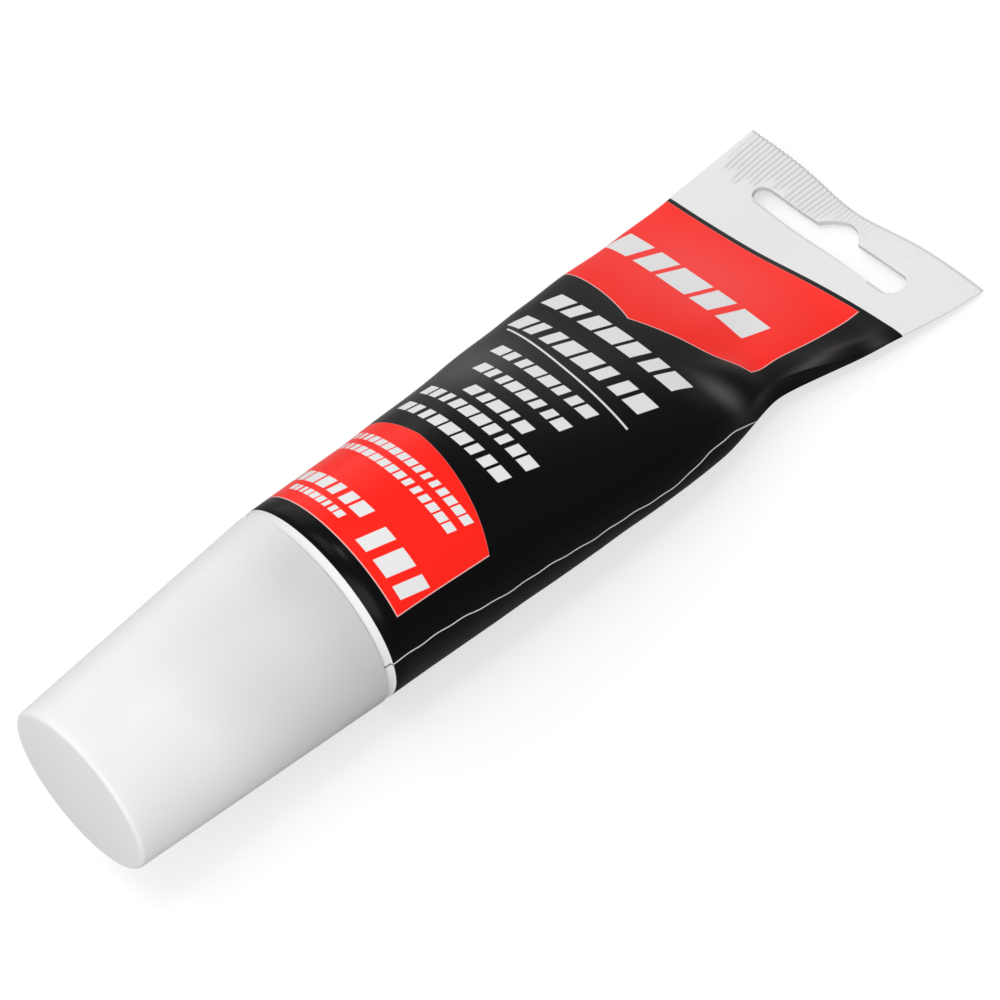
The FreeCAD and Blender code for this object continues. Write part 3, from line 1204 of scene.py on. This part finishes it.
# Nozzle
@dataclass
class ScrewNozzle:
    """Cone that screws on the neck, with grip ribs round its collar."""

    axes: TubeAxes
    base: float = -7.5
    floor: float = -16.65
    length: float = 31.5
    wall: float = 1.2
    socket_radius: float = 6.58
    collar_radius: float = 8.4
    tip_radius: float = 2.4
    tip_bore: float = 1.2
    rib_count: int = 12
    rib_radius: float = 0.5

    def rib_tree(self) -> Tree:
        """Geometry nodes that set the grip ribs round the collar."""
        sockets = {
            "Count": "Int", "Ring Radius": "Float", "Rib Radius": "Float", "Rib Length": "Float",
            "Middle": "Vector", "Turn": "Vector", "Finish": "Material",
        }
        tree, source = new_group("grip_ribs", sockets)
        circle = {"Vertices": source["Count"], "Radius": source["Ring Radius"]}
        ring = add_node(tree, "GeometryNodeMeshCircle", inputs=circle)
        rod = {"Vertices": 20, "Radius": source["Rib Radius"], "Depth": source["Rib Length"]}
        rib = add_node(tree, "GeometryNodeMeshCylinder", inputs=rod)
        copies = {"Points": ring.outputs[0], "Instance": rib.outputs[0]}
        ribs = add_node(tree, "GeometryNodeInstanceOnPoints", inputs=copies)
        real = add_node(tree, "GeometryNodeRealizeInstances", inputs={0: ribs.outputs[0]})
        moves = {"Geometry": real.outputs[0], "Translation": source["Middle"], "Rotation": source["Turn"]}
        placed = add_node(tree, "GeometryNodeTransform", inputs=moves)
        smooth = add_node(tree, "GeometryNodeSetShadeSmooth", inputs={"Geometry": placed.outputs[0]})
        joined = add_node(tree, "GeometryNodeJoinGeometry", inputs={0: source["Mesh"]})
        tree.links.new(smooth.outputs[0], joined.inputs[0])
        looks = {"Geometry": joined.outputs[0], "Material": source["Finish"]}
        finish = add_node(tree, "GeometryNodeSetMaterial", inputs=looks)
        add_node(tree, "NodeGroupOutput", inputs={0: finish.outputs[0]})
        return tree

    def build(self) -> bpy.types.Object:
        """Make the nozzle and dress it."""
        cone = self.socket_radius + self.wall
        inner = cone - 2 * self.wall
        tip = self.base - self.length
        corners = [
            Corner(self.base, self.socket_radius, 0.25),
            Corner(self.base, self.collar_radius, 0.3),
            Corner(self.floor, self.collar_radius, 0.3),
            Corner(self.floor - self.wall, cone, 0.8),
            Corner(tip, self.tip_radius, 0.3),
            Corner(tip, self.tip_bore, 0.2),
            Corner(self.floor - self.wall, inner, 1.0),
            Corner(self.floor, inner, 0.1),
            Corner(self.floor, self.socket_radius, 0.2),
        ]
        piece = turned_piece("screw_nozzle", rounded(corners, True), self.axes, 144)
        finish = MouldedPolyethylene("white_nozzle_polyethylene", "#ECEDED", "#E2E3E3").build()
        rib_length = self.base - self.floor - 0.4
        middle = self.axes.placed(np.array([[(self.base + self.floor) / 2, 0.0, 0.0]]))[0]
        turn = Vector((0, 0, 1)).rotation_difference(self.axes.along).to_euler()
        wanted = {
            "Count": self.rib_count, "Ring Radius": self.collar_radius * MM,
            "Rib Radius": self.rib_radius * MM, "Rib Length": rib_length * MM,
            "Middle": tuple(middle), "Turn": tuple(turn), "Finish": finish,
        }
        put_on(piece, self.rib_tree(), wanted)
        piece = settled(piece)
        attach(piece, Body.NOZZLE.value)
        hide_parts("nozzle")
        return piece


# Overcap
@dataclass
class Overcap:
    """Tall tapered cover that grips the spigot by a land in its mouth."""

    axes: TubeAxes
    mouth: float = -0.3
    lip: float = 0.2
    length: float = 42.0
    mouth_radius: float = 16.0
    taper: float = 2.65
    wall: float = 1.2
    end_wall: float = 1.6
    land_radius: float = 14.8
    land_end: float = -7.5
    edge_rounding: float = 0.7

    def outside(self, x: float) -> float:
        """Outside radius at x."""
        return self.mouth_radius - (self.mouth - x) / self.length * self.taper

    def build(self) -> bpy.types.Object:
        """Make the overcap and dress it."""
        end = self.mouth - self.length
        inside_end = end + self.end_wall
        corners = [
            Corner(end, 0.0),
            Corner(end, self.outside(end), self.edge_rounding),
            Corner(self.mouth + self.lip, self.mouth_radius, 0.12),
            Corner(self.mouth + self.lip, self.land_radius, 0.2),
            Corner(self.land_end, self.land_radius, 0.2),
            Corner(self.land_end, self.outside(self.land_end) - self.wall, 0.2),
            Corner(inside_end, self.outside(inside_end) - self.wall, 0.8),
            Corner(inside_end, 0.0),
        ]
        piece = turned_piece("overcap", rounded(corners, False), self.axes, 256)
        piece.data.materials.append(NaturalPolypropylene(self.axes).build())
        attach(piece, Body.CAP.value)
        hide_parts("cap")
        return piece


# Studio
@dataclass(frozen=True)
class Softbox:
    """Square soft lamp aimed at the part, in metres and watts."""

    name: str
    direction: tuple[float, float, float]
    power: float
    size: float
    distance: float = 1.1

    def build(self) -> None:
        """Add the lamp."""
        lamp = bpy.data.lights.new(self.name, "AREA")
        lamp.energy = self.power
        lamp.size = self.size
        way = Vector(self.direction).normalized()
        holder = bpy.data.objects.new(self.name, lamp)
        bpy.context.scene.collection.objects.link(holder)
        holder.location = way * self.distance
        holder.rotation_mode = "QUATERNION"
        holder.rotation_quaternion = (-way).to_track_quat("-Z", "Y")


@dataclass(frozen=True)
class Studio:
    """Plain pale floor, a white surround and soft light from above, behind and before."""

    floor_reach: float = 3.0
    floor_tone: str = "#ABABAB"
    fibre_tone: str = "#AEAEAE"
    floor_lift: float = 0.64
    surround: float = 0.58
    softboxes: tuple[Softbox, ...] = (
        Softbox("key_softbox", (-0.35, 0.1, 0.93), 1.5, 0.45),
        Softbox("back_softbox", (0.15, 0.78, 0.6), 3.0, 0.9),
        Softbox("top_softbox", (0.0, -0.22, 0.97), 1.4, 0.2),
        Softbox("front_softbox", (-0.7, -0.68, 0.25), 6.8, 0.9),
    )

    def build(self) -> None:
        """Add the floor, the surround and the lamps."""
        self.add_floor()
        self.add_surround()
        for softbox in self.softboxes:
            softbox.build()

    def add_floor(self) -> None:
        """Add the floor: matt paper that is seen as white and keeps the shadow."""
        mesh = bpy.data.meshes.new("floor")
        reach = self.floor_reach
        corners = [(-reach, -reach, 0), (reach, -reach, 0), (reach, reach, 0), (-reach, reach, 0)]
        mesh.from_pydata(corners, [], [[0, 1, 2, 3]])
        floor = bpy.data.objects.new("floor", mesh)
        bpy.context.scene.collection.objects.link(floor)
        levels = {"Roughness": 0.9, "Specular IOR Level": 0.1, "Emission Color": (1.0, 1.0, 1.0, 1.0)}
        material, tree, shader = new_material("matt_paper", levels)
        paper = laid_over(tree, self.floor_tone, [(speckle(tree, 2.0), self.fibre_tone)])
        seen = add_node(tree, "ShaderNodeLightPath").outputs["Is Camera Ray"]
        lift = formula(tree, "seen * lift", seen=seen, lift=self.floor_lift)
        link_shader(tree, shader, {"Base Color": paper, "Emission Strength": lift})
        mesh.materials.append(material)

    def add_surround(self) -> None:
        """Light everything evenly, and show white behind the floor."""
        world = bpy.data.worlds.new("white_surround")
        world.use_nodes = True
        tree = world.node_tree
        tree.nodes.clear()
        seen = add_node(tree, "ShaderNodeLightPath").outputs["Is Camera Ray"]
        level = formula(tree, "low + (1 - low) * seen", low=self.surround, seen=seen)
        even = {"Color": (1.0, 1.0, 1.0, 1.0), "Strength": level}
        light = add_node(tree, "ShaderNodeBackground", inputs=even)
        add_node(tree, "ShaderNodeOutputWorld", inputs={"Surface": light.outputs[0]})
        bpy.context.scene.world = world


def main() -> None:
    """Build every piece around the frame."""
    logging.basicConfig(level=logging.INFO, format="%(message)s")
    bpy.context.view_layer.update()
    bpy.context.scene.view_settings.view_transform = "Standard"
    axes = TubeAxes.from_record(frame["record"], Overcap.length - Overcap.mouth)
    pieces = [FilmSleeve(axes, PrintedLaminate()).build(), *MouldedHead(axes).build()]
    pieces += [ScrewNozzle(axes).build(), Overcap(axes).build()]
    for piece in pieces:
        LOG.info("%s: %d faces", piece.name, len(piece.data.polygons))
    Studio().build()
    PhotoCamera().build()


if __name__ == "__main__":
    main()
